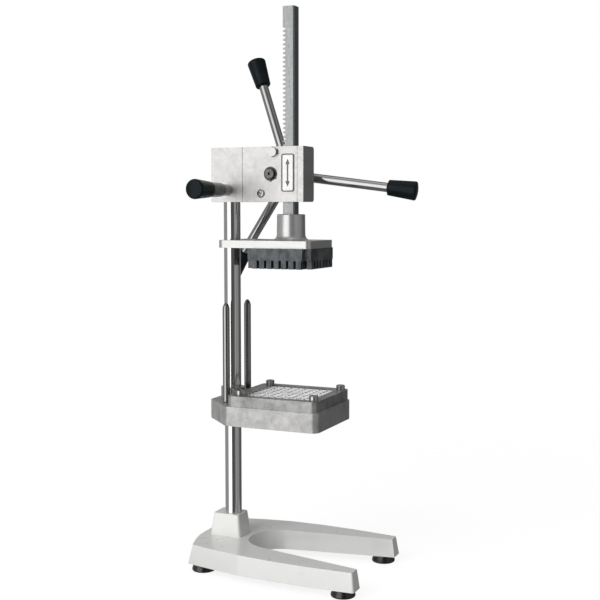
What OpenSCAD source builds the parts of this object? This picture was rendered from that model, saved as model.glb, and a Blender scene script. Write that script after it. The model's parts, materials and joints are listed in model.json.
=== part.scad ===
// Rack-and-pinion vegetable dicer on a column stand.
// Origin: floor level on the column's axis. +X is the side the base opens to,
// +Z is up, and the turning handle is on the +Y side of the head.

/* [Base] */
// Distance from the column axis to the leg tips
leg_tip_x = 231; // [222:1:236]
// Half width of the base across the leg tips
leg_tip_y = 93; // [90:1:96]
// Height of the base's flat top
base_top = 40; // [39:0.5:43]
// Height of the rubber feet, which is also the base's underside
foot_h = 10.5; // [9:0.5:12]
// Radius of a rubber foot at the floor
foot_r = 17.5; // [15:0.5:18]
// Height of the boss that holds the column
boss_top = 73.5; // [70:0.5:80]

/* [Column] */
// Diameter of the column
column_d = 25; // [24:0.5:25]
// Height of the column's top end
column_top = 621; // [600:1:624]

/* [Table] */
// Height of the table casting's underside
table_low = 220.5; // [215:0.5:225]
// Thickness of the table casting
table_t = 28.8; // [26:0.2:30]
// Front face of the table casting
table_front = 167; // [165:1:172]
// Half width of the table casting
table_half = 66; // [66:1:70]
// Height of the blade frame above the table
blade_frame_h = 15.6; // [15:0.2:18]
// Height of the guide pins' points
guide_pin_top = 398; // [380:1:420]
// Radius of a guide pin
guide_pin_r = 5.3; // [5:0.1:5.3]

/* [Blades] */
// Distance from one blade to the next, and from one pusher tooth to the next
pitch = 11.6; // [11.4:0.1:11.6]
// Number of pusher teeth along each side
tooth_rows = 9; // [9:1:9]
// Thickness of a blade
blade_t = 0.9; // [0.6:0.1:1.2]
// Height of a blade strip
blade_w = 13.2; // [12:0.1:13.4]

/* [Pusher] */
// Height of the pusher plate's underside with the pusher raised
plate_low = 479.5; // [478:0.5:482]
// Thickness of the pusher plate
plate_t = 11; // [9:0.5:12]
// Front face of the pusher plate
plate_front = 146; // [144:1:150]
// Half width of the pusher plate
plate_half = 44.6; // [44:0.2:46]
// Width of a pusher tooth
tooth_w = 7.9; // [7:0.1:8.6]
// Length of a pusher tooth
tooth_h = 12; // [10:0.5:12]
// Height of the boss that grips the rack, above the plate
pusher_boss_h = 38; // [34:1:38]

/* [Head] */
// Underside of the head
head_low = 546.3; // [546:0.1:547]
// Top of the head
head_high = 626.3; // [624:0.1:630]
// Rear face of the head
head_rear = -24.7; // [-28:0.1:-22]
// Front face of the head
head_front = 125; // [122:0.5:130]
// Half depth of the head
head_half = 19.3; // [19:0.1:20]
// Rear edge of the gear cover
cover_rear = 27; // [24:0.5:28]
// Front edge of the gear cover
cover_front = 115.7; // [113:0.1:117]
// Thickness of the gear cover
cover_t = 8; // [7.5:0.1:8]

/* [Rack and pinion] */
// Gear module
gear_module = 2; // [2:1:2]
// Number of pinion teeth
pinion_teeth = 17; // [17:1:17]
// Distance from the column axis to the pinion axis
pinion_x = 73; // [72:0.5:74]
// Height of the pinion axis
pinion_z = 587; // [586:0.5:588]
// Width of the square rack bar
rack_w = 18; // [18:1:18]
// Height of the rack's top end with the pusher raised
rack_top = 826.5; // [820:0.5:840]

/* [Handle] */
// Angle of the first spoke, upwards from +X
spoke_angle = -7.5; // [-20:0.5:20]
// Outward lean of the spokes
spoke_dish = 10.4; // [8:0.2:10.4]
// Distance from the shaft axis to the grips, along a spoke
spoke_reach = 151; // [130:1:170]
// Radius of a spoke
spoke_r = 7; // [6:0.5:7]
// Length of a grip
grip_len = 44.6; // [42:0.2:50]
// Radius of a grip at its wide end
grip_r = 14.2; // [13.5:0.1:15]
// Distance of the lock screw from the column axis, along X
lock_x = 2; // [0:0.5:4]
// Height of the lock screw
lock_z = 564; // [560:0.5:570]

/* [Hidden] */
$fn = 96;
column_r = column_d / 2;
head_h = head_high - head_low;
cover_y = -head_half + cover_t;          // inner face of the gear cover
table_high = table_low + table_t;
frame_high = table_high + blade_frame_h;
plate_high = plate_low + plate_t;
block_x = 96.3;                          // centre of the blade grid and pusher
block_half = (tooth_rows - 1) / 2 * pitch + tooth_w / 2;
tooth_low = 450.4;
block_low = tooth_low + tooth_h;
opening_half = tooth_rows * pitch / 2;   // inside of the blade frame
edge_clearance = 0.15;

pitch_r = gear_module * pinion_teeth / 2;
pressure_angle = 20;
base_r = pitch_r * cos(pressure_angle);
pinion_tip_r = pitch_r + gear_module;
pinion_root_r = pitch_r - 1.25 * gear_module;
gear_pitch = PI * gear_module;
backlash = 0.12;
rack_pitch_x = pinion_x + pitch_r;
rack_tip_x = rack_pitch_x - 0.95 * gear_module;
rack_root_x = rack_pitch_x + 1.2 * gear_module;
rack_back_x = rack_tip_x + rack_w;
rack_mid_x = (rack_tip_x + rack_back_x) / 2;
rack_low = plate_high + 6.5;
rack_half = rack_w / 2;
gap_first = -4;
gap_last = 33;

cover_gap = 0.35;
shaft_r = 8;
shaft_near = -24.5;
shaft_stem_r = 6;
groove_r = 7.2;
ring_near = -head_half - 1.3;
ring_t = 1.2;
bush_r = 10;
shaft_clearance = 0.05;
gear_half = 9;                           // half the pinion's width
cavity_far = 9.5;
hub_y = 48;
hub_start = 20.5;
hub_step = 37;
hub_end = 60;
hub_r = 23;
spoke_start = 12;
spoke_tail_r = 5;
spoke_tail = 30;
lock_r = 5;
lock_tip = 15.6;
lock_boss_end = 38;
lock_collar_near = 41;
lock_collar_far = 76;
lock_collar_len = lock_collar_far - lock_collar_near;

foot_places = [[213.9, 83], [213.9, -83], [-16.7, 64.7], [-16.7, -64.7]];
pin_places = [[7.3, 34.9], [7.3, -34.9]];
frame_screw_places = [[38.1, 51.2], [38.1, -51.2], [155.3, 51.2], [155.3, -51.2]];
frame_screw_low = 232;
frame_screw_r = 4;
cap_rear = -28.6;
clamp_gap = 0.3;
clamp_bolt_y = 20.5;
clamp_bolt_z = 235;
clamp_bolt_r = 3;
clamp_bolt_end = cap_rear + 6.6;
discharge_rear = block_x - opening_half + 1;
clamp_head_x = discharge_rear - 6;
blade_offsets = [for (i = [0 : tooth_rows - 2]) (i - (tooth_rows - 2) / 2) * pitch];
tooth_offsets = [for (i = [0 : tooth_rows - 1]) (i - (tooth_rows - 1) / 2) * pitch];
cover_bolt_at = [77.7, 618.4];
cover_screw_at = [57.5, 558.5];
dowel_places = [[38, 615], [111, 554]];
block_screw_offset = 35;

// ---- shared shapes ----

// Cylinder along X between two positions
module along_x(y, z, x0, x1, r) {
    translate([x0, y, z]) rotate([0, 90, 0]) cylinder(r = r, h = x1 - x0);
}

// Cylinder along Y between two positions
module along_y(x, z, y0, y1, r) {
    translate([x, y0, z]) rotate([-90, 0, 0]) cylinder(r = r, h = y1 - y0);
}

// Box between two corners
module box(low, high) {
    translate(low) cube(high - low);
}

// Flat rectangle with round corners
module rounded_rect(low, high, r) {
    translate([low.x + r, low.y]) square([high.x - low.x - 2 * r, high.y - low.y]);
    translate([low.x, low.y + r]) square([high.x - low.x, high.y - low.y - 2 * r]);
    for (x = [low.x + r, high.x - r], y = [low.y + r, high.y - r])
        translate([x, y]) circle(r);
}

// Upright round post placed at each point of a list
module posts(places, z0, z1, r) {
    for (p = places) translate([p.x, p.y, z0]) cylinder(r = r, h = z1 - z0);
}

// Flat figure in the XZ plane, thickened from y0 towards +Y
module plate_xz(y0, t) {
    translate([0, y0 + t, 0]) rotate([90, 0, 0]) linear_extrude(t) children();
}

// ---- base ----

// Height of the base's top along X: flat at the rear, falling to the tips
function base_top_at(x) = base_top - 2.5 * max(0, x - 56) / (leg_tip_x - 56);

// Rounded outline of the base's top, one side only: centre and radius
base_top_side = [
    [-39.6, 10, 5], [-38.4, 29, 5], [-32.6, 52, 5], [-27.5, 74.8, 2], [16, 82.5, 5],
    [56, 89, 5], [108, 92.6, 5], [162, 92.2, 5], [leg_tip_x - 2, leg_tip_y - 2, 2]
];
// The same for its underside
base_low_side = [
    [-43.8, 10, 5], [-42.6, 29, 5], [-37.2, 52, 5], [-32.6, 73.3, 5], [16, 83.6, 5],
    [56, 90, 6], [108, 93.4, 6], [162, 94.6, 6], [leg_tip_x + 1, leg_tip_y + 1, 3]
];
// One leg's underside pocket, one side only
leg_pocket = [
    [30, 62], [62, 53], [100, 62], [190, 76], [190, 87], [110, 91], [60, 85], [30, 80]
];
column_seat = 28;
bolt_recess = 22;

module base_shell() {
    hull() for (side = [-1, 1]) {
        for (p = base_low_side)
            translate([p.x, side * p.y, foot_h]) cylinder(r = p[2], h = 0.5, $fn = 32);
        for (p = base_top_side)
            translate([p.x, side * p.y, base_top_at(p.x) - 0.5]) cylinder(r = p[2], h = 0.5, $fn = 32);
    }
    hull() for (x = [0, 1], side = [-1, 1]) {
        translate([x ? 17 : -27, side * 16, base_top - 3]) cylinder(r = 4, h = 1, $fn = 32);
        translate([x ? 13 : -22.5, side * 13, boss_top - 1]) cylinder(r = 3.3, h = 1, $fn = 32);
    }
}

// Space between the legs: round at the rear, widening to the front
module leg_space() {
    hull() for (level = [0, 1]) {
        z = level ? base_top + 1 : foot_h - 2;
        narrow = level ? 0 : 2.5;
        translate([79, 0, z]) cylinder(r = 48 - narrow, h = 0.5, $fn = 72);
        for (side = [-1, 1])
            translate([262, side * (79 - narrow), z]) cylinder(r = 1, h = 0.5, $fn = 16);
    }
}

module base_casting() color("gainsboro") difference() {
    base_shell();
    leg_space();
    for (side = [-1, 1]) translate([0, 0, foot_h - 1]) linear_extrude(21.5)
        polygon([for (p = leg_pocket) [p.x, side * p.y]]);
    translate([0, 0, column_seat]) cylinder(r = column_r, h = boss_top);
    translate([0, 0, foot_h - 1]) cylinder(r = 11, h = bolt_recess - foot_h + 1);
    cylinder(r = 5, h = column_seat + 1);
    posts(foot_places, foot_h - 1, 26, 3);
    along_x(0, 60, -40, 0, 4);
}

module rubber_feet() color("#161616") for (p = foot_places) translate([p.x, p.y, 0])
    rotate_extrude() polygon([
        [6.5, 0], [foot_r - 1, 0], [foot_r, 1.4], [foot_r, 3], [foot_r - 2.4, foot_h],
        [3, foot_h], [3, 5.5], [6.5, 5.5]
    ]);

module foot_screws() color("silver") for (p = foot_places) translate([p.x, p.y, 0]) {
    translate([0, 0, 2]) cylinder(r = 5.5, h = 3.5);
    translate([0, 0, 5.5]) cylinder(r = 3, h = 20.5);
}

module column() color("#c9ccd0") difference() {
    rotate_extrude() polygon([
        [0, column_seat], [column_r - 1, column_seat], [column_r, column_seat + 1],
        [column_r, column_top - 1], [column_r - 1, column_top], [0, column_top]
    ]);
    translate([0, 0, column_seat - 1]) cylinder(r = 5, h = 26);
}

module column_bolt() color("silver") difference() {
    union() {
        translate([0, 0, bolt_recess - 10]) cylinder(r = 8, h = 8);
        translate([0, 0, bolt_recess - 2]) cylinder(r = 5, h = 30);
    }
    translate([0, 0, bolt_recess - 11]) cylinder(r = 4.6, h = 5, $fn = 6);
}

module column_washer() color("silver") difference() {
    translate([0, 0, bolt_recess - 2]) cylinder(r = 10, h = 2);
    cylinder(r = 5, h = column_seat);
}

module base_set_screw() color("dimgray") difference() {
    along_x(0, 60, -23, -column_r, 4);
    translate([-24, 0, 60]) rotate([0, 90, 0]) cylinder(r = 2.3, h = 4, $fn = 6);
}

// ---- table ----

module column_bore(z0, z1, r) {
    translate([0, 0, z0]) cylinder(r = r, h = z1 - z0);
}

// Outline shared by the table and its clamp cap, narrowing in two steps to the rear
module table_outline() hull() for (side = [-1, 1]) {
    translate([table_front - 10, side * (table_half - 10)]) circle(10, $fn = 48);
    translate([24.6, side * (table_half - 9)]) circle(9, $fn = 48);
    translate([-7.3, side * 27.3]) circle(4, $fn = 32);
    translate([cap_rear + 4, side * 15.9]) circle(4, $fn = 32);
}

module table_slab() translate([0, 0, table_low]) linear_extrude(table_t) table_outline();

module table_casting() color("#b9b9b6") difference() {
    table_slab();
    box([cap_rear - 1, -table_half, table_low - 1], [clamp_gap, table_half, table_high + 1]);
    column_bore(table_low - 1, table_high + 1, column_r);
    translate([0, 0, table_low - 1]) linear_extrude(table_t + 2)
        rounded_rect([discharge_rear, -opening_half + 1],
                     [block_x + opening_half - 1, opening_half - 1], 6);
    posts(pin_places, 241.5, table_high + 1, 3);
    posts(frame_screw_places, frame_screw_low, table_high + 1, frame_screw_r);
    for (side = [-1, 1]) {
        along_x(side * clamp_bolt_y, clamp_bolt_z, 0, clamp_head_x + 1, clamp_bolt_r);
        along_x(side * clamp_bolt_y, clamp_bolt_z, clamp_head_x, discharge_rear + 1, 5.2);
    }
}

module table_clamp_cap() color("#a9a9a6") difference() {
    table_slab();
    box([-clamp_gap, -table_half - 1, table_low - 1], [table_front + 1, table_half + 1, table_high + 1]);
    column_bore(table_low - 1, table_high + 1, column_r);
    for (side = [-1, 1])
        along_x(side * clamp_bolt_y, clamp_bolt_z, clamp_bolt_end, 1, clamp_bolt_r);
}

module table_clamp_bolts() color("silver") for (side = [-1, 1]) difference() {
    union() {
        along_x(side * clamp_bolt_y, clamp_bolt_z, clamp_bolt_end, clamp_head_x, clamp_bolt_r);
        along_x(side * clamp_bolt_y, clamp_bolt_z, clamp_head_x, discharge_rear, 5);
    }
    translate([discharge_rear - 3, side * clamp_bolt_y, clamp_bolt_z]) rotate([0, 90, 0])
        cylinder(r = 2.9, h = 5, $fn = 6);
}

collar_top = table_high + 18.5;
collar_r = 18;

module table_collar() color("#a4a6a6") difference() {
    translate([0, 0, table_high]) cylinder(r = collar_r, h = collar_top - table_high);
    column_bore(table_high - 1, collar_top + 1, column_r);
    along_x(0, table_high + 9, -collar_r - 1, 0, 3);
}

module collar_screw() color("dimgray") difference() {
    along_x(0, table_high + 9, -collar_r + 0.6, -column_r, 3);
    translate([-collar_r - 1, 0, table_high + 9]) rotate([0, 90, 0]) cylinder(r = 1.7, h = 4, $fn = 6);
}

module guide_pins() color("silver") for (p = pin_places) translate([p.x, p.y, 0])
    rotate_extrude() polygon([
        [0, 241.5], [3, 241.5], [3, table_high], [guide_pin_r - 0.6, table_high],
        [guide_pin_r, table_high + 0.6], [guide_pin_r, guide_pin_top - 8],
        [guide_pin_r - 1, guide_pin_top - 4.4], [2.9, guide_pin_top - 1.8],
        [1.5, guide_pin_top - 0.5], [0, guide_pin_top]
    ]);

// ---- blades ----

blade_top = frame_high - 0.5;
blade_low = blade_top - blade_w;
blade_mid = (blade_low + blade_top) / 2;
blade_end = opening_half + 3.5;
edge_h = 2.5;                            // height of the ground edge
edge_t = 0.2;                            // thickness left at its top

// Cross-sections of a row of blades, ground on both sides of their top edge
module blade_sections() for (place = blade_offsets) translate([place, 0]) polygon([
    [-blade_t / 2, blade_low], [blade_t / 2, blade_low], [blade_t / 2, blade_top - edge_h],
    [edge_t / 2, blade_top], [-edge_t / 2, blade_top], [-blade_t / 2, blade_top - edge_h]
]);

module lengthwise_strips() rotate([0, 0, 90])
    plate_xz(-block_x - blade_end, 2 * blade_end) blade_sections();

module crosswise_strips() translate([block_x, 0, 0])
    plate_xz(-blade_end, 2 * blade_end) blade_sections();

// Slots at every crossing, given as half sizes and a range of heights
module crossing_slots(half_x, half_y, z0, z1) for (x = blade_offsets, y = blade_offsets)
    box([block_x + x - half_x, y - half_y, z0], [block_x + x + half_x, y + half_y, z1]);

module blades_lengthwise() color("#dfe3e6") difference() {
    lengthwise_strips();
    crossing_slots(blade_t / 2, blade_t, blade_low - 1, blade_mid);
}

module blades_crosswise() color("#dfe3e6") difference() {
    crosswise_strips();
    crossing_slots(blade_t, blade_t / 2, blade_mid, blade_top + 1);
}

module blade_frame() color("#b5b5b2") difference() {
    hull() for (side = [-1, 1]) {
        translate([164 - 8, side * (65 - 8), table_high]) cylinder(r = 8, h = blade_frame_h, $fn = 48);
        translate([22 + 10, side * (65 - 10), table_high]) cylinder(r = 10, h = blade_frame_h, $fn = 48);
    }
    translate([0, 0, table_high - 1]) linear_extrude(blade_frame_h + 2)
        rounded_rect([block_x - opening_half, -opening_half],
                     [block_x + opening_half, opening_half], 3);
    lengthwise_strips();
    crosswise_strips();
    posts(frame_screw_places, table_high - 1, frame_high + 1, frame_screw_r);
}

// Socket-head screws that hold the blade frame down on the table
module frame_screws() color("silver") for (p = frame_screw_places) translate([p.x, p.y, 0])
    difference() {
        union() {
            translate([0, 0, frame_screw_low]) cylinder(r = frame_screw_r, h = frame_high - frame_screw_low);
            translate([0, 0, frame_high]) cylinder(r = 6.5, h = 6.8);
            translate([0, 0, frame_high + 6.8]) cylinder(r1 = 6.5, r2 = 5.8, h = 0.7);
        }
        translate([0, 0, frame_high + 3.5]) cylinder(r = 3.45, h = 5, $fn = 6);
    }

// ---- head ----

friction_z = 572;
screw_seat = -head_half + 2.2;           // bottom of the cover screw's counterbore

// Head's outline seen along X: square towards the cover, round on the far side
module head_profile() {
    rounded_rect([-head_half, head_low], [head_half, head_high], 5);
    translate([-head_half, head_low]) square([head_half, head_h]);
}

module head_casting() color("#cfccc8") difference() {
    union() {
        translate([head_rear, 0, 0]) rotate([90, 0, 90])
            linear_extrude(head_front - head_rear) head_profile();
        along_y(lock_x, lock_z, -lock_boss_end, -head_half + 1, 8.5);
    }
    box([cover_rear, -head_half - 1, head_low - 1], [cover_front, cover_y, head_high + 1]);
    column_bore(head_low - 1, head_high + 1, column_r + shaft_clearance);
    box([rack_tip_x - edge_clearance, -rack_half - edge_clearance, head_low - 1],
        [rack_back_x + edge_clearance, rack_half + edge_clearance, head_high + 1]);
    along_y(pinion_x, pinion_z, cover_y - 1, cavity_far, pinion_tip_r + 0.7);
    along_y(pinion_x, pinion_z, 0, head_half + 1, bush_r);
    along_y(lock_x, lock_z, -lock_boss_end - 1, 0, lock_r + 0.08);
    along_y(cover_bolt_at.x, cover_bolt_at.y, cover_y - 1, 8, 4);
    along_y(cover_screw_at.x, cover_screw_at.y, cover_y - 1, 6, 2.5);
    for (d = dowel_places) along_y(d.x, d.y, cover_y - 1, cover_y + 8, 2);
    along_y(rack_mid_x, friction_z, 0, head_half + 1, 4);
}

module gear_cover() color("#d8d5d2") difference() {
    box([cover_rear + cover_gap, -head_half, head_low], [cover_front - cover_gap, cover_y, head_high]);
    along_y(pinion_x, pinion_z, -head_half - 1, 0, bush_r);
    along_y(cover_bolt_at.x, cover_bolt_at.y, -head_half - 1, 0, 4);
    along_y(cover_screw_at.x, cover_screw_at.y, -head_half - 1, 0, 2.5);
    along_y(cover_screw_at.x, cover_screw_at.y, -head_half - 1, screw_seat, 6.2);
    for (d = dowel_places) along_y(d.x, d.y, cover_y - 5, 0, 2);
}

// Blank plate with a raised rim and a two-headed arrow for the rack's travel
plate_low_corner = [90.8, 561];
plate_high_corner = [110.6, 615.5];
plate_mid = (plate_low_corner + plate_high_corner) / 2;

module arrow_head(way) {
    translate([plate_mid.x, plate_mid.y + way * 12])
        polygon([[-3.4, 0], [3.4, 0], [0, way * 8]]);
}

module nameplate() color("#c4c3c0") {
    plate_xz(-head_half - 0.8, 0.8) rounded_rect(plate_low_corner, plate_high_corner, 3);
    plate_xz(-head_half - 1.6, 0.8) difference() {
        rounded_rect(plate_low_corner, plate_high_corner, 3);
        rounded_rect(plate_low_corner + [1.6, 1.6], plate_high_corner - [1.6, 1.6], 1.6);
    }
    plate_xz(-head_half - 1.3, 0.5) union() {
        translate(plate_mid - [1.1, 12.2]) square([2.2, 24.4]);
        arrow_head(1);
        arrow_head(-1);
    }
}

module cover_bolt() color("whitesmoke") {
    translate([cover_bolt_at.x, -head_half, cover_bolt_at.y]) rotate([90, 30, 0]) intersection() {
        cylinder(r = 7.5, h = 5.3, $fn = 6);
        cylinder(r1 = 9.6, r2 = 6.4, h = 5.3);
    }
    along_y(cover_bolt_at.x, cover_bolt_at.y, -head_half, 7, 4);
}

module cover_screw() color("silver") difference() {
    union() {
        translate([cover_screw_at.x, screw_seat, cover_screw_at.y]) rotate([90, 0, 0])
            rotate_extrude() polygon([[0, 0], [5.4, 0], [5.4, 0.9], [4.8, 1.9], [3.2, 2.5], [0, 2.7]]);
        along_y(cover_screw_at.x, cover_screw_at.y, screw_seat, 5, 2.5);
    }
    translate([cover_screw_at.x, screw_seat - 2, cover_screw_at.y]) for (a = [20, 110])
        rotate([0, a, 0]) cube([7, 2.6, 1.4], center = true);
}

module cover_dowels() color("dimgray") for (d = dowel_places)
    along_y(d.x, d.y, cover_y - 5, cover_y + 8, 2);

module bush(y0, y1) difference() {
    along_y(pinion_x, pinion_z, y0, y1, bush_r);
    along_y(pinion_x, pinion_z, y0 - 1, y1 + 1, shaft_r + shaft_clearance);
}

module near_bush() color("#b08d4a") bush(-head_half, cover_y);

module far_bush() color("#b08d4a") bush(cavity_far, head_half);

module friction_plug() color("#c9a24a")
    along_y(rack_mid_x, friction_z, rack_half + 0.05, rack_half + 2.8, 3.9);

// Three disc springs stacked between the plug and its adjusting screw
module friction_springs() color("dimgray") for (i = [0 : 2])
    translate([rack_mid_x, rack_half + 2.8 + i * 0.9, friction_z]) rotate([-90, 0, 0])
        rotate_extrude() polygon([[1.6, 0.4], [3.8, 0], [3.8, 0.45], [1.6, 0.85]]);

module friction_screw() color("dimgray") difference() {
    along_y(rack_mid_x, friction_z, rack_half + 5.5, head_half - 0.3, 4);
    translate([rack_mid_x, head_half + 1, friction_z]) rotate([90, 0, 0]) cylinder(r = 2.3, h = 4, $fn = 6);
}

// ---- pinion and shaft ----

tooth_half_angle = (gear_pitch - backlash) / 4 / pitch_r * 180 / PI;

function involute(a) = tan(a) * 180 / PI - a;
function half_angle_at(r) = tooth_half_angle + involute(pressure_angle) - involute(acos(base_r / r));
function polar(r, a) = [r * cos(a), r * sin(a)];

flank_steps = 5;
flank_radii = [for (i = [0 : flank_steps]) base_r + (pinion_tip_r - base_r) * i / flank_steps];
root_angle = half_angle_at(base_r);

// One tooth's outline, from its lower root to its upper root
function tooth_points(a) = concat(
    [polar(pinion_root_r, a - root_angle)],
    [for (r = flank_radii) polar(r, a - half_angle_at(r))],
    [for (i = [flank_steps : -1 : 0]) polar(flank_radii[i], a + half_angle_at(flank_radii[i]))],
    [polar(pinion_root_r, a + root_angle)]
);

key_size = 5;

module pinion_key_space() {
    box([pinion_x - key_size / 2, -gear_half, pinion_z + shaft_r - 2.5],
        [pinion_x + key_size / 2, gear_half, pinion_z + shaft_r + 2]);
}

module hub_key_space() {
    box([pinion_x - key_size / 2, hub_start + 4, pinion_z + shaft_r - 2.5],
        [pinion_x + key_size / 2, hub_step, pinion_z + shaft_r + 2]);
}

module pinion_gear() color("#8d9093") difference() {
    translate([pinion_x, gear_half, pinion_z]) rotate([90, 0, 0]) linear_extrude(2 * gear_half)
        polygon([for (k = [0 : pinion_teeth - 1]) each tooth_points(k * 360 / pinion_teeth)]);
    along_y(pinion_x, pinion_z, -gear_half - 1, gear_half + 1, shaft_r);
    pinion_key_space();
}

module pinion_shaft() color("#9a9da0") difference() {
    translate([pinion_x, 0, pinion_z]) rotate([-90, 0, 0]) rotate_extrude() polygon([
        [0, shaft_near], [shaft_r - 1, shaft_near], [shaft_r, shaft_near + 1],
        [shaft_r, ring_near], [groove_r, ring_near], [groove_r, ring_near + ring_t],
        [shaft_r, ring_near + ring_t], [shaft_r, hub_end], [shaft_stem_r, hub_end],
        [shaft_stem_r, hub_end + 13], [0, hub_end + 13]
    ]);
    along_y(pinion_x, pinion_z, shaft_near - 1, shaft_near + 3.5, 2.2);
    pinion_key_space();
    hub_key_space();
}

module shaft_keys() color("dimgray") {
    pinion_key_space();
    hub_key_space();
}

// Open ring in the shaft's groove, with two lugs beside its gap
module retaining_ring() color("#4a4a4a") difference() {
    union() {
        along_y(pinion_x, pinion_z, ring_near, ring_near + ring_t, 10.2);
        for (a = [38, 88]) translate([pinion_x, ring_near, pinion_z]) rotate([0, a, 0])
            translate([9.2, 0, 0]) rotate([-90, 0, 0]) cylinder(r = 2.1, h = ring_t);
    }
    along_y(pinion_x, pinion_z, ring_near - 1, ring_near + ring_t + 1, groove_r);
    translate([pinion_x, ring_near - 1, pinion_z]) rotate([0, 63, 0]) translate([4, 0, -2])
        cube([9, ring_t + 2, 4]);
}

module thrust_washer() color("#b08d4a") difference() {
    along_y(pinion_x, pinion_z, cover_y + 0.1, -gear_half - 0.1, 12);
    along_y(pinion_x, pinion_z, cover_y, -gear_half, shaft_r);
}

// ---- handle ----

// Places a part that points up Z along one of the three spokes
module on_spoke(i) {
    translate([pinion_x, hub_y, pinion_z]) rotate([0, -spoke_angle - 120 * (i - 1), 0])
        rotate([0, 0, spoke_dish]) rotate([0, 90, 0]) children();
}

module handle_hub() color("#b9bcbf") difference() {
    translate([pinion_x, 0, pinion_z]) rotate([-90, 0, 0]) rotate_extrude() polygon([
        [shaft_r, hub_start], [13, hub_start], [14, hub_start + 1], [14, hub_step - 3],
        [17, hub_step], [hub_r - 2, hub_step], [hub_r, hub_step + 2],
        [hub_r, hub_end - 2], [hub_r - 2, hub_end], [shaft_r, hub_end]
    ]);
    for (i = [1 : 3]) on_spoke(i) translate([0, 0, spoke_start]) cylinder(r = spoke_r, h = 30);
    hub_key_space();
}

module hub_washer() color("silver") difference() {
    along_y(pinion_x, pinion_z, hub_end, hub_end + 2, 12);
    along_y(pinion_x, pinion_z, hub_end - 1, hub_end + 3, shaft_stem_r);
}

module hub_nut() color("silver") difference() {
    translate([pinion_x, hub_end + 2, pinion_z]) rotate([-90, 0, 0]) intersection() {
        cylinder(r = 10.4, h = 9, $fn = 6);
        cylinder(r1 = 13.5, r2 = 9, h = 9);
    }
    along_y(pinion_x, pinion_z, hub_end, hub_end + 14, shaft_stem_r);
}

module spoke(i) color("silver") on_spoke(i) rotate_extrude() polygon([
    [0, spoke_start], [spoke_r, spoke_start], [spoke_r, spoke_reach - 1],
    [spoke_r - 1, spoke_reach], [spoke_tail_r, spoke_reach],
    [spoke_tail_r, spoke_reach + spoke_tail], [0, spoke_reach + spoke_tail]
]);

grip_small_r = 11.6;
grip_edge = 3.2;

// Tapered grip with a rounded rim and a slightly domed end, bored for its stem
module grip_shape(bore_r, bore_len) {
    rotate_extrude() polygon(concat(
        [[bore_r, 0], [grip_small_r - 1.2, 0], [grip_small_r, 1.2]],
        [for (a = [0 : 15 : 75])
            [grip_r - grip_edge * (1 - cos(a)), grip_len - 1.4 - grip_edge * (1 - sin(a))]],
        [[grip_r - grip_edge, grip_len - 1.4], [7, grip_len - 0.4], [0, grip_len],
         [0, bore_len], [bore_r, bore_len]]
    ));
}

module grip(i) color("#111111") on_spoke(i) translate([0, 0, spoke_reach])
    grip_shape(spoke_tail_r, spoke_tail);

// ---- rack and pusher ----

rack_tooth_half = (gear_pitch - backlash) / 4;
rack_slope = tan(pressure_angle);
rack_gap_tip = gear_pitch / 2 - rack_tooth_half + (rack_pitch_x - rack_tip_x) * rack_slope;
rack_gap_root = gear_pitch / 2 - rack_tooth_half - (rack_root_x - rack_pitch_x) * rack_slope;

// One tooth space cut into the rack's face, from bottom to top
function rack_gap(z) = [
    [rack_tip_x, z - rack_gap_tip], [rack_root_x, z - rack_gap_root],
    [rack_root_x, z + rack_gap_root], [rack_tip_x, z + rack_gap_tip]
];

module rack_bar() color("#8f959a") difference() {
    intersection() {
        plate_xz(-rack_half, rack_w) polygon(concat(
            [[rack_back_x, rack_low], [rack_tip_x, rack_low]],
            [for (k = [gap_first : gap_last]) each rack_gap(pinion_z + k * gear_pitch)],
            [[rack_tip_x, rack_top], [rack_back_x, rack_top]]
        ));
        translate([0, 0, rack_low]) linear_extrude(rack_top - rack_low) polygon([
            [rack_tip_x, -rack_half], [rack_back_x - 1.8, -rack_half],
            [rack_back_x, -rack_half + 1.8], [rack_back_x, rack_half - 1.8],
            [rack_back_x - 1.8, rack_half], [rack_tip_x, rack_half]
        ]);
    }
    along_y(rack_mid_x, rack_pin_z, -rack_half - 1, rack_half + 1, 3);
}

// Cross pin, driven in from the far side into a blind hole
rack_pin_z = plate_high + 22;
rack_pin_near = -14;

module rack_pin() color("silver") along_y(rack_mid_x, rack_pin_z, rack_pin_near + 0.3, 20, 3);

ear_x = 7.3;
ear_r = plate_half - 34.9;
plate_rear = 17.5;
front_corner_r = 8;

module plate_outline() {
    translate([plate_rear, -plate_half])
        square([plate_front - front_corner_r - plate_rear, 2 * plate_half]);
    translate([plate_rear, front_corner_r - plate_half])
        square([plate_front - plate_rear, 2 * (plate_half - front_corner_r)]);
    for (side = [-1, 1]) {
        translate([plate_front - front_corner_r, side * (plate_half - front_corner_r)])
            circle(front_corner_r);
        translate([ear_x, side * 34.9]) circle(ear_r);
        translate([ear_x, side * 34.9 - ear_r]) square([plate_rear - ear_x + 1, 2 * ear_r]);
    }
}

boss_flare_r = 8.5;
boss_r = 20.6;
pusher_boss_top = plate_high + pusher_boss_h;

module pusher_boss() {
    translate([rack_mid_x, 0, 0]) rotate_extrude() polygon(concat(
        [[0, plate_high - 1], [boss_r + 0.4 + boss_flare_r, plate_high - 1]],
        [for (a = [0 : 15 : 90]) [boss_r + 0.4 + boss_flare_r * (1 - sin(a)),
                                  plate_high + boss_flare_r * (1 - cos(a))]],
        [[boss_r, pusher_boss_top - 1], [boss_r - 1, pusher_boss_top], [0, pusher_boss_top]]
    ));
}

module block_screw_places() {
    for (x = [-1, 1], y = [-1, 1])
        translate([block_x + x * block_screw_offset, y * block_screw_offset, 0]) children();
}

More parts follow.
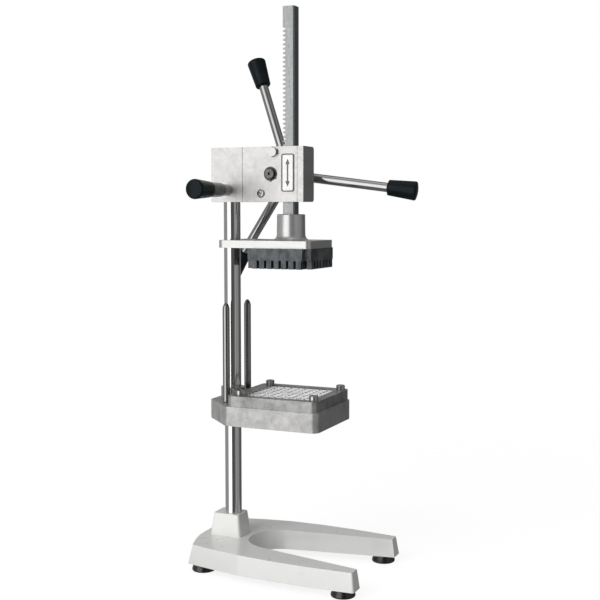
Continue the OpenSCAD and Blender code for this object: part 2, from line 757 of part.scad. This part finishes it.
module pusher_head() color("#a8abad") difference() {
    union() {
        translate([0, 0, plate_low]) linear_extrude(plate_t) plate_outline();
        pusher_boss();
    }
    box([rack_tip_x, -rack_half, rack_low], [rack_back_x, rack_half, pusher_boss_top + 1]);
    along_y(rack_mid_x, rack_pin_z, rack_pin_near, 30, 3);
    for (side = [-1, 1]) translate([ear_x, side * 34.9, plate_low - 1]) cylinder(r = 7.5, h = plate_t + 2);
    block_screw_places() {
        translate([0, 0, plate_low - 1]) cylinder(r = 2.5, h = plate_t + 2);
        translate([0, 0, plate_high - 3]) cylinder(r = 4.8, h = 4);
    }
}

module pusher_screws() color("silver") block_screw_places() difference() {
    union() {
        translate([0, 0, plate_high - 3]) cylinder(r = 4.8, h = 2.8);
        translate([0, 0, block_low + 4]) cylinder(r = 2.5, h = plate_high - 3 - block_low - 4);
    }
    translate([0, 0, plate_high - 2.2]) cylinder(r = 2.3, h = 4, $fn = 6);
}

// Toothed plastic block; the corners are cut away to clear the frame's screws
corner_cut = (tooth_rows - 2) / 2 * pitch;

module pusher_block() color("#22272a") difference() {
    union() {
        box([block_x - block_half, -block_half, block_low], [block_x + block_half, block_half, plate_low]);
        for (x = tooth_offsets, y = tooth_offsets)
            translate([block_x + x - tooth_w / 2, y - tooth_w / 2, tooth_low])
                cube([tooth_w, tooth_w, tooth_h + 0.5]);
    }
    for (x = [-1, 1], y = [-1, 1])
        translate([block_x + x * (corner_cut + 10), y * (corner_cut + 10), (tooth_low + plate_low) / 2])
            cube([20, 20, 40], center = true);
    block_screw_places() translate([0, 0, block_low + 4]) cylinder(r = 2.5, h = 20);
}

module guide_bushes() color("#b08d4a") for (side = [-1, 1])
    translate([ear_x, side * 34.9, plate_low]) difference() {
        cylinder(r = 7.5, h = plate_t);
        translate([0, 0, -1]) cylinder(r = guide_pin_r + 0.1, h = plate_t + 2);
    }

// ---- column lock ----

// Places a part that points up Z along the lock screw, out of the head
module on_lock(distance) {
    translate([lock_x, -distance, lock_z]) rotate([90, 0, 0]) children();
}

module clamp_pad() color("#c9a24a") on_lock(column_r + 0.1) cylinder(r = lock_r - 0.1, h = 2.9);

module lock_spindle() color("silver") on_lock(lock_tip)
    cylinder(r = lock_r, h = lock_collar_far + spoke_tail - lock_tip);

module lock_collar() color("#a9acae") on_lock(lock_collar_near) rotate_extrude() polygon([
    [lock_r, 0], [8.6, 0], [10.2, 1.6], [10.8, lock_collar_len - 1],
    [10, lock_collar_len], [lock_r, lock_collar_len]
]);

module lock_grip() color("#111111") on_lock(lock_collar_far) grip_shape(lock_r, spoke_tail);

// ---- assembly ----

base_casting();
rubber_feet();
foot_screws();
column();
column_bolt();
column_washer();
base_set_screw();
table_casting();
table_clamp_cap();
table_clamp_bolts();
table_collar();
collar_screw();
guide_pins();
blade_frame();
blades_lengthwise();
blades_crosswise();
frame_screws();
head_casting();
gear_cover();
nameplate();
cover_bolt();
cover_screw();
cover_dowels();
near_bush();
far_bush();
friction_plug();
friction_springs();
friction_screw();
pinion_gear();
pinion_shaft();
shaft_keys();
retaining_ring();
thrust_washer();
handle_hub();
hub_washer();
hub_nut();
for (i = [1 : 3]) spoke(i);
for (i = [1 : 3]) grip(i);
rack_bar();
rack_pin();
pusher_head();
pusher_block();
pusher_screws();
guide_bushes();
clamp_pad();
lock_spindle();
lock_collar();
lock_grip();
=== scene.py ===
"""Looks of the column-mounted vegetable dicer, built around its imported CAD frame."""
import json
import math

import bpy
from mathutils import Euler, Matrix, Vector


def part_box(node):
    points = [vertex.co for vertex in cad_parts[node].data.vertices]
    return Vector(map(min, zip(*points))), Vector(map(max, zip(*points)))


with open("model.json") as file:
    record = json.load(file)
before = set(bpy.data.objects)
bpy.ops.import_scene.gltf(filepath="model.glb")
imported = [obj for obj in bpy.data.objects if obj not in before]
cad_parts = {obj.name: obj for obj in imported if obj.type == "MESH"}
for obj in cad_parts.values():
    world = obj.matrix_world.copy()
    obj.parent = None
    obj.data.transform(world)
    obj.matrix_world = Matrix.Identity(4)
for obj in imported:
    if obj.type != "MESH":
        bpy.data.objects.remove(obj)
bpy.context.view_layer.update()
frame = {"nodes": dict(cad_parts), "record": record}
nodes = frame["nodes"]
scene = bpy.context.scene

MM = 0.001
MICRON = 0.000001


# ---- camera ----

CAMERA_PLACE = (0.7619, -1.4598, 0.5383)
CAMERA_YAW = 24.02       # degrees to the left of +Y
CAMERA_DOWN = 4.84       # degrees below the level
CAMERA_LENS = 65.58      # focal length in mm
CAMERA_SENSOR = 36.0     # width in mm


def make_camera():
    data = bpy.data.cameras.new("camera")
    data.lens = CAMERA_LENS
    data.sensor_width = CAMERA_SENSOR
    data.clip_end = 60.0
    camera = bpy.data.objects.new("camera", data)
    scene.collection.objects.link(camera)
    camera.location = CAMERA_PLACE
    camera.rotation_euler = Euler((math.radians(90 - CAMERA_DOWN), 0, math.radians(CAMERA_YAW)))
    scene.camera = camera


make_camera()


# ---- node building ----

def plug(tree, socket, value):
    """Feeds a socket: another node's output is linked to it, a number or colour is set on it."""
    if isinstance(value, bpy.types.NodeSocket):
        tree.links.new(value, socket)
    else:
        socket.default_value = value


def calculate(tree, operation, *values):
    """The result of a Math node on these values."""
    node = tree.nodes.new("ShaderNodeMath")
    node.operation = operation
    for socket, value in zip(node.inputs, values):
        plug(tree, socket, value)
    return node.outputs[0]


def mix(tree, kind, factor, first, second):
    """Mixes two numbers (kind FLOAT) or two colours (kind RGBA)."""
    node = tree.nodes.new("ShaderNodeMix")
    node.data_type = kind
    for socket, value in (("Factor", factor), ("A", first), ("B", second)):
        plug(tree, node.inputs[socket], value)
    return node.outputs["Result"]


def map_range(tree, value, from_low, from_high, to_low, to_high):
    """The value, mapped from one range onto another."""
    mapped = tree.nodes.new("ShaderNodeMapRange")
    limits = (("From Min", from_low), ("From Max", from_high), ("To Min", to_low), ("To Max", to_high))
    for socket, number in limits:
        mapped.inputs[socket].default_value = number
    tree.links.new(value, mapped.inputs["Value"])
    return mapped.outputs["Result"]


def solid(value):
    """An opaque grey."""
    return (value, value, value, 1)


def grey(value, warmth=0.0):
    """A near-grey colour: warmth above 0 takes a little blue away."""
    return (value, value * (1 - warmth * 0.4), value * (1 - warmth))


class Surface:
    """A node material under construction, with short ways to add its nodes."""

    def __init__(self, name, metallic, roughness, **sockets):
        self.material = bpy.data.materials.new(name)
        self.material.use_nodes = True
        self.tree = self.material.node_tree
        self.shader = self.tree.nodes["Principled BSDF"]
        self.shader.inputs["Metallic"].default_value = metallic
        self.shader.inputs["Roughness"].default_value = roughness
        for socket, value in sockets.items():
            self.shader.inputs[socket.replace("_", " ")].default_value = value
        coordinates = self.tree.nodes.new("ShaderNodeTexCoord")
        self.place = coordinates.outputs["Object"]

    def link(self, output, socket):
        self.tree.links.new(output, socket)

    def noise(self, scale, detail=3.0, stretch=(1, 1, 1), rough=0.55):
        """Noise value of about the given number of lumps per metre, stretched along an axis."""
        mapping = self.tree.nodes.new("ShaderNodeMapping")
        mapping.inputs["Scale"].default_value = stretch
        self.link(self.place, mapping.inputs["Vector"])
        noise = self.tree.nodes.new("ShaderNodeTexNoise")
        noise.inputs["Scale"].default_value = scale
        noise.inputs["Detail"].default_value = detail
        noise.inputs["Roughness"].default_value = rough
        self.link(mapping.outputs["Vector"], noise.inputs["Vector"])
        return noise.outputs["Fac"]

    def spread(self, value, low, high, start=0.3, stop=0.7):
        """The value's range start to stop, mapped onto low to high."""
        return map_range(self.tree, value, start, stop, low, high)

    def blend(self, value, dark, light, start=0.3, stop=0.7):
        """A colour between dark and light, by the value."""
        ramp = self.tree.nodes.new("ShaderNodeValToRGB")
        first, last = ramp.color_ramp.elements
        first.position, last.position = start, stop
        first.color, last.color = (*dark, 1), (*light, 1)
        self.link(value, ramp.inputs["Fac"])
        return ramp.outputs["Color"]

    def tone(self, value, dark, light, **limits):
        self.link(self.blend(value, dark, light, **limits), self.shader.inputs["Base Color"])

    def polish(self, value, low, high, **limits):
        self.link(self.spread(value, low, high, **limits), self.shader.inputs["Roughness"])

    def relief(self, *layers):
        """Bump layers, each a value and its height in micrometres."""
        normal = None
        for value, height in layers:
            bump = self.tree.nodes.new("ShaderNodeBump")
            bump.inputs["Strength"].default_value = 1.0
            bump.inputs["Distance"].default_value = height * MICRON
            self.link(value, bump.inputs["Height"])
            if normal is not None:
                self.link(normal, bump.inputs["Normal"])
            normal = bump.outputs["Normal"]
        self.link(normal, self.shader.inputs["Normal"])


# ---- materials ----

def base_paint():
    s = Surface("base_paint", 0.0, 0.30, Coat_Weight=0.6, Coat_Roughness=0.06)
    s.tone(s.noise(26, 4), (0.835, 0.842, 0.815), (0.875, 0.882, 0.858))
    s.polish(s.noise(60), 0.26, 0.38)
    s.relief((s.noise(20, 1), 30))
    return s.material


def rubber():
    s = Surface("foot_rubber", 0.0, 0.3, Coat_Weight=0.3, Coat_Roughness=0.15)
    s.tone(s.noise(200), grey(0.005), grey(0.012))
    s.polish(s.noise(90), 0.22, 0.34)
    s.relief((s.noise(1400, 2), 40))
    return s.material


def polished_steel(name, roughness, tones, lines=None):
    """Bright bar; lines gives the noise stretch of its draw marks, and none leaves it plain."""
    s = Surface(name, 1.0, roughness[0])
    marks = s.noise(900, 2, lines) if lines else s.noise(35, 2)
    s.tone(marks, *(grey(value, 0.01) for value in tones))
    s.polish(s.noise(300, 3, lines or (1, 1, 1)), *roughness)
    return s.material


def pin_steel():
    """Hardened ground steel, greyer than the column."""
    s = Surface("pin_steel", 1.0, 0.2)
    marks = s.noise(300, 2, (1, 1, 0.03))
    s.tone(marks, grey(0.26, 0.02), grey(0.30, 0.02))
    s.polish(marks, 0.10, 0.16)
    return s.material


def plated_steel():
    s = Surface("fastener_steel", 1.0, 0.28)
    s.tone(s.noise(240, 4), grey(0.42, 0.02), grey(0.58, 0.03))
    s.polish(s.noise(500), 0.2, 0.4)
    s.relief((s.noise(900, 2), 20))
    return s.material


def dark_steel():
    s = Surface("dark_steel", 1.0, 0.32)
    s.tone(s.noise(300), grey(0.035), grey(0.08))
    s.polish(s.noise(500), 0.24, 0.42)
    return s.material


def bright_screw():
    s = Surface("bright_screw", 1.0, 0.12)
    s.tone(s.noise(400), grey(0.36, 0.01), grey(0.44, 0.01))
    s.polish(s.noise(700), 0.18, 0.30)
    return s.material


def cast_aluminium(name, dark, light):
    s = Surface(name, 0.5, 0.36)
    s.tone(s.noise(45, 6, rough=0.70), grey(dark, 0.02), grey(light, 0.02))
    s.polish(s.noise(120, 4), 0.30, 0.46)
    s.relief((s.noise(800, 3), 60), (s.noise(60, 4), 350))
    return s.material


def head_aluminium():
    s = Surface("head_aluminium", 0.9, 0.36)
    s.tone(s.noise(80, 7, rough=0.72), grey(0.43, 0.035), grey(0.54, 0.03))
    s.polish(s.noise(260, 4), 0.34, 0.46)
    s.relief((s.noise(1100, 3), 40), (s.noise(120, 4), 60))
    return s.material


def plate_aluminium():
    s = Surface("plate_aluminium", 0.75, 0.36)
    streaks = s.noise(900, 3, (0.04, 0.04, 1.0))
    s.tone(streaks, grey(0.50, 0.015), grey(0.54, 0.01))
    s.polish(s.noise(60, 3), 0.28, 0.32)
    return s.material


def blade_steel():
    s = Surface("blade_steel", 0.5, 0.24)
    grain = s.noise(900, 2, (1, 1, 6))
    s.tone(grain, grey(0.84, 0.0), grey(0.94, 0.0))
    s.polish(grain, 0.26, 0.38)
    return s.material


def rack_steel():
    s = Surface("rack_steel", 1.0, 0.34)
    grain = s.noise(700, 3, (1, 1, 0.05))
    s.tone(s.noise(220, 5, rough=0.7), (0.200, 0.206, 0.210), (0.280, 0.288, 0.293))
    s.polish(grain, 0.26, 0.42)
    s.relief((grain, 20))
    return s.material


def gear_steel():
    s = Surface("gear_steel", 1.0, 0.36)
    s.tone(s.noise(140, 4), grey(0.07), grey(0.14))
    s.polish(s.noise(300), 0.26, 0.46)
    s.relief((s.noise(800), 20))
    return s.material


def bronze(name, dark, light):
    s = Surface(name, 1.0, 0.3)
    s.tone(s.noise(160, 4), dark, light)
    s.polish(s.noise(420), 0.22, 0.4)
    return s.material


def grip_plastic():
    s = Surface("grip_plastic", 0.0, 0.16, Specular_IOR_Level=0.08)
    s.tone(s.noise(60, 3), (0.006, 0.009, 0.011), (0.009, 0.014, 0.017))
    s.polish(s.noise(180, 3), 0.20, 0.30)
    s.relief((s.noise(160, 2), 10))
    return s.material


def block_plastic():
    s = Surface("block_plastic", 0.0, 0.40)
    cuts = s.noise(260, 3, (1.0, 1.0, 0.35), rough=0.6)
    s.tone(s.noise(75, 5, (1.5, 1.0, 0.9), rough=0.6), (0.018, 0.022, 0.026), (0.100, 0.114, 0.124),
           start=0.38, stop=0.66)
    s.polish(cuts, 0.32, 0.50)
    s.relief((cuts, 100))
    return s.material


INK_HEIGHT = 1.05 * MM    # height above the plate's back at which the ink begins
INK_BLUR = 0.1 * MM       # half the height over which it fades in


def label_metal():
    """Stamped plate: light ground, with dark ink on its raised rim and arrow."""
    s = Surface("label_metal", 0.3, 0.34)
    ground = s.blend(s.noise(150, 4), grey(0.66, 0.02), grey(0.82, 0.02))
    depth = s.tree.nodes.new("ShaderNodeSeparateXYZ")
    s.link(s.place, depth.inputs["Vector"])
    ink_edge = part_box("nameplate")[1][1] - INK_HEIGHT
    raised = s.spread(depth.outputs["Y"], 1.0, 0.0, start=ink_edge - INK_BLUR, stop=ink_edge + INK_BLUR)
    s.link(mix(s.tree, "RGBA", raised, ground, solid(0.10)), s.shader.inputs["Base Color"])
    s.polish(s.noise(400), 0.28, 0.42)
    s.relief((s.noise(900), 30))
    return s.material


FINISHES = {
    "base_paint": base_paint(),
    "foot_rubber": rubber(),
    "column_steel": polished_steel("column_steel", (0.05, 0.12), (0.54, 0.61), lines=(1, 1, 0.02)),
    "fastener_steel": plated_steel(),
    "dark_steel": dark_steel(),
    "bright_screw": bright_screw(),
    "cast_aluminium": cast_aluminium("cast_aluminium", 0.30, 0.48),
    "head_aluminium": head_aluminium(),
    "plate_aluminium": plate_aluminium(),
    "blade_steel": blade_steel(),
    "rack_steel": rack_steel(),
    "gear_steel": gear_steel(),
    "bronze": bronze("bronze", (0.42, 0.27, 0.10), (0.58, 0.40, 0.18)),
    "spoke_steel": polished_steel("spoke_steel", (0.07, 0.11), (0.36, 0.41)),
    "grip_plastic": grip_plastic(),
    "block_plastic": block_plastic(),
    "label_metal": label_metal(),
}

# Nodes that look different from the rest of their slot
OWN_FINISHES = {
    "guide_pins": pin_steel(),
    "blade_frame": cast_aluminium("frame_aluminium", 0.18, 0.40),
    "lock_collar": polished_steel("collar_steel", (0.26, 0.32), (0.24, 0.28)),
    "near_bush": bronze("oily_bronze", (0.05, 0.04, 0.025), (0.10, 0.08, 0.05)),
}


# ---- CAD nodes: materials, softened edges, smooth curves ----

def smooth_by_angle_group(limit):
    """Geometry nodes that shade smooth except across edges sharper than the limit."""
    group = bpy.data.node_groups.new("smooth_by_angle", "GeometryNodeTree")
    group.interface.new_socket("Geometry", in_out="INPUT", socket_type="NodeSocketGeometry")
    group.interface.new_socket("Geometry", in_out="OUTPUT", socket_type="NodeSocketGeometry")
    start = group.nodes.new("NodeGroupInput")
    stop = group.nodes.new("NodeGroupOutput")
    faces = group.nodes.new("GeometryNodeSetShadeSmooth")
    faces.domain = "FACE"
    edges = group.nodes.new("GeometryNodeSetShadeSmooth")
    edges.domain = "EDGE"
    angle = group.nodes.new("GeometryNodeInputMeshEdgeAngle")
    below = group.nodes.new("FunctionNodeCompare")
    below.operation = "LESS_EQUAL"
    below.inputs["B"].default_value = limit
    group.links.new(start.outputs[0], faces.inputs["Geometry"])
    group.links.new(faces.outputs[0], edges.inputs["Geometry"])
    group.links.new(angle.outputs["Unsigned Angle"], below.inputs["A"])
    group.links.new(below.outputs["Result"], edges.inputs["Shade Smooth"])
    group.links.new(edges.outputs[0], stop.inputs[0])
    return group


WELD_DISTANCE = 2 * MICRON
FLAT_ANGLE = math.radians(0.3)
BEVEL_ANGLE = math.radians(32)
SMOOTH_ANGLE = math.radians(31)
SMOOTH = smooth_by_angle_group(SMOOTH_ANGLE)

# Widths of the softened edges in mm, with 0 for edges that stay as they are
DEFAULT_EDGE = 0.4
EDGE_WIDTHS = {
    "base_casting": 1.5, "table_casting": 1.8, "table_clamp_cap": 1.6,
    "blade_frame": 1.2, "head_casting": 0.6, "gear_cover": 0.7,
    "nameplate": 0.2, "pusher_head": 0.6, "pusher_block": 0.3,
    "rack_bar": 0.25, "pinion_gear": 0.2, "blades_lengthwise": 0,
    "blades_crosswise": 0, "friction_springs": 0, "retaining_ring": 0.1,
    "rubber_feet": 0.8, "cover_screw": 0.2,
}


def finish_node(name, slot):
    """Gives a CAD node its finish, joins the triangles of its flat faces and rounds its edges."""
    node = nodes[name]
    node.data.materials.clear()
    node.data.materials.append(OWN_FINISHES.get(name) or FINISHES[slot])
    for face in node.data.polygons:
        face.material_index = 0
    weld = node.modifiers.new("weld", "WELD")
    weld.merge_threshold = WELD_DISTANCE
    flats = node.modifiers.new("flats", "DECIMATE")
    flats.decimate_type = "DISSOLVE"
    flats.angle_limit = FLAT_ANGLE
    width = EDGE_WIDTHS.get(name, DEFAULT_EDGE)
    if width:
        bevel = node.modifiers.new("edges", "BEVEL")
        bevel.width = width * MM
        bevel.segments = 3
        bevel.limit_method = "ANGLE"
        bevel.angle_limit = BEVEL_ANGLE
    smooth = node.modifiers.new("smooth", "NODES")
    smooth.node_group = SMOOTH
    normals = node.modifiers.new("normals", "WEIGHTED_NORMAL")
    normals.keep_sharp = True


for part in frame["record"]["subparts"]:
    finish_node(part["node"], part["material_slot"])


# ---- floor, light and background ----

FLOOR_RADIUS = 4.0
FLOOR_FADE_SEEN = (0.35, 1.5)    # distances from the column over which it fades for the camera
FLOOR_FADE_FELT = (0.2, 0.6)     # the same for light that reaches the object
FLOOR_TONE_SEEN = 0.22           # dark for the camera, which keeps shadows faint
FLOOR_TONE_FELT = 0.5
FLOOR_GLOW = 0.86                # brightness added for the camera


def make_floor():
    """A white floor that fades into the white background; reflections don't see it."""
    bpy.ops.mesh.primitive_circle_add(vertices=96, radius=FLOOR_RADIUS, fill_type="NGON")
    floor = bpy.context.object
    floor.name = "floor"
    material = bpy.data.materials.new("floor")
    material.use_nodes = True
    tree = material.node_tree
    shader = tree.nodes["Principled BSDF"]
    shader.inputs["Roughness"].default_value = 0.7
    shader.inputs["Emission Color"].default_value = solid(1.0)
    floor.data.materials.append(material)
    coordinates = tree.nodes.new("ShaderNodeTexCoord")
    distance = tree.nodes.new("ShaderNodeVectorMath")
    distance.operation = "LENGTH"
    tree.links.new(coordinates.outputs["Object"], distance.inputs[0])
    seen = map_range(tree, distance.outputs["Value"], *FLOOR_FADE_SEEN, 1.0, 0.0)
    felt = map_range(tree, distance.outputs["Value"], *FLOOR_FADE_FELT, 1.0, 0.0)
    path = tree.nodes.new("ShaderNodeLightPath")
    for_camera = path.outputs["Is Camera Ray"]
    unmirrored = calculate(tree, "SUBTRACT", 1.0, path.outputs["Is Glossy Ray"])
    cover = calculate(tree, "MULTIPLY", mix(tree, "FLOAT", for_camera, felt, seen), unmirrored)
    tree.links.new(cover, shader.inputs["Alpha"])
    tone = mix(tree, "FLOAT", for_camera, FLOOR_TONE_FELT, FLOOR_TONE_SEEN)
    tree.links.new(tone, shader.inputs["Base Color"])
    glow = calculate(tree, "MULTIPLY", for_camera, FLOOR_GLOW)
    tree.links.new(glow, shader.inputs["Emission Strength"])


OBJECT_MIDDLE = Vector((0.06, 0, 0.4))    # about there, between the column and the rack


def make_softbox(name, azimuth, elevation, distance, size, radiance, mirrored=True):
    """A rectangular light aimed at the object. Azimuth is in degrees from -Y towards +X."""
    data = bpy.data.lights.new(name, "AREA")
    data.shape = "RECTANGLE"
    data.size, data.size_y = size
    data.energy = radiance * math.pi * size[0] * size[1]
    light = bpy.data.objects.new(name, data)
    scene.collection.objects.link(light)
    turn, rise = math.radians(azimuth), math.radians(elevation)
    way = Vector((math.sin(turn) * math.cos(rise), -math.cos(turn) * math.cos(rise), math.sin(rise)))
    light.location = OBJECT_MIDDLE + way * distance
    light.rotation_euler = way.to_track_quat("Z", "Y").to_euler()
    light.visible_camera = False
    light.visible_glossy = mirrored


# Brightness of the room around the object: (azimuth in degrees from -Y towards +X, grey value)
ROOM = (
    (-180, 0.30), (-130, 0.40), (-75, 0.42), (-46, 0.46), (-38, 2.2), (4, 2.2), (10, 0.11), (46, 0.12),
    (52, 0.24), (60, 0.24), (62.5, 0.70), (66, 0.70), (68.5, 0.36), (84, 0.36), (100, 0.40), (112, 0.30),
    (128, 0.13), (160, 0.13), (170, 0.10), (180, 0.30),
)
CEILING = 0.34
CEILING_FADE = (0.35, 0.85)      # from and to these heights on a sphere of radius 1
GROUND = 0.22
GROUND_FADE = (-0.35, -0.6)


def make_world():
    """White for the camera; for light and reflections, a room whose brightness turns with azimuth."""
    world = bpy.data.worlds.new("studio")
    scene.world = world
    world.use_nodes = True
    tree = world.node_tree
    room = tree.nodes["Background"]
    coordinates = tree.nodes.new("ShaderNodeTexCoord")
    parts = tree.nodes.new("ShaderNodeSeparateXYZ")
    tree.links.new(coordinates.outputs["Generated"], parts.inputs["Vector"])
    towards_front = calculate(tree, "MULTIPLY", parts.outputs["Y"], -1.0)
    azimuth = calculate(tree, "ARCTAN2", parts.outputs["X"], towards_front)
    ramp = tree.nodes.new("ShaderNodeValToRGB")
    stops = ramp.color_ramp.elements
    for index, (degrees, value) in enumerate(ROOM):
        place = (degrees + 180) / 360
        stop = stops[index] if index < 2 else stops.new(place)    # a new ramp has two stops
        stop.position, stop.color = place, solid(value)
    tree.links.new(map_range(tree, azimuth, -math.pi, math.pi, 0.0, 1.0), ramp.inputs["Fac"])
    colour = ramp.outputs["Color"]
    for value, fade in ((CEILING, CEILING_FADE), (GROUND, GROUND_FADE)):
        amount = map_range(tree, parts.outputs["Z"], *fade, 0.0, 1.0)
        colour = mix(tree, "RGBA", amount, colour, solid(value))
    tree.links.new(colour, room.inputs["Color"])
    white = tree.nodes.new("ShaderNodeBackground")
    white.inputs["Color"].default_value = solid(1.0)
    path = tree.nodes.new("ShaderNodeLightPath")
    pick = tree.nodes.new("ShaderNodeMixShader")
    tree.links.new(path.outputs["Is Camera Ray"], pick.inputs["Fac"])
    tree.links.new(room.outputs["Background"], pick.inputs[1])
    tree.links.new(white.outputs["Background"], pick.inputs[2])
    tree.links.new(pick.outputs["Shader"], tree.nodes["World Output"].inputs["Surface"])


make_floor()
make_world()
make_softbox("key_high", azimuth=-20, elevation=34, distance=2.4, size=(1.6, 0.8), radiance=4.6,
             mirrored=False)
make_softbox("top", azimuth=60, elevation=82, distance=2.2, size=(1.2, 1.2), radiance=0.6)
scene.view_settings.view_transform = "Standard"
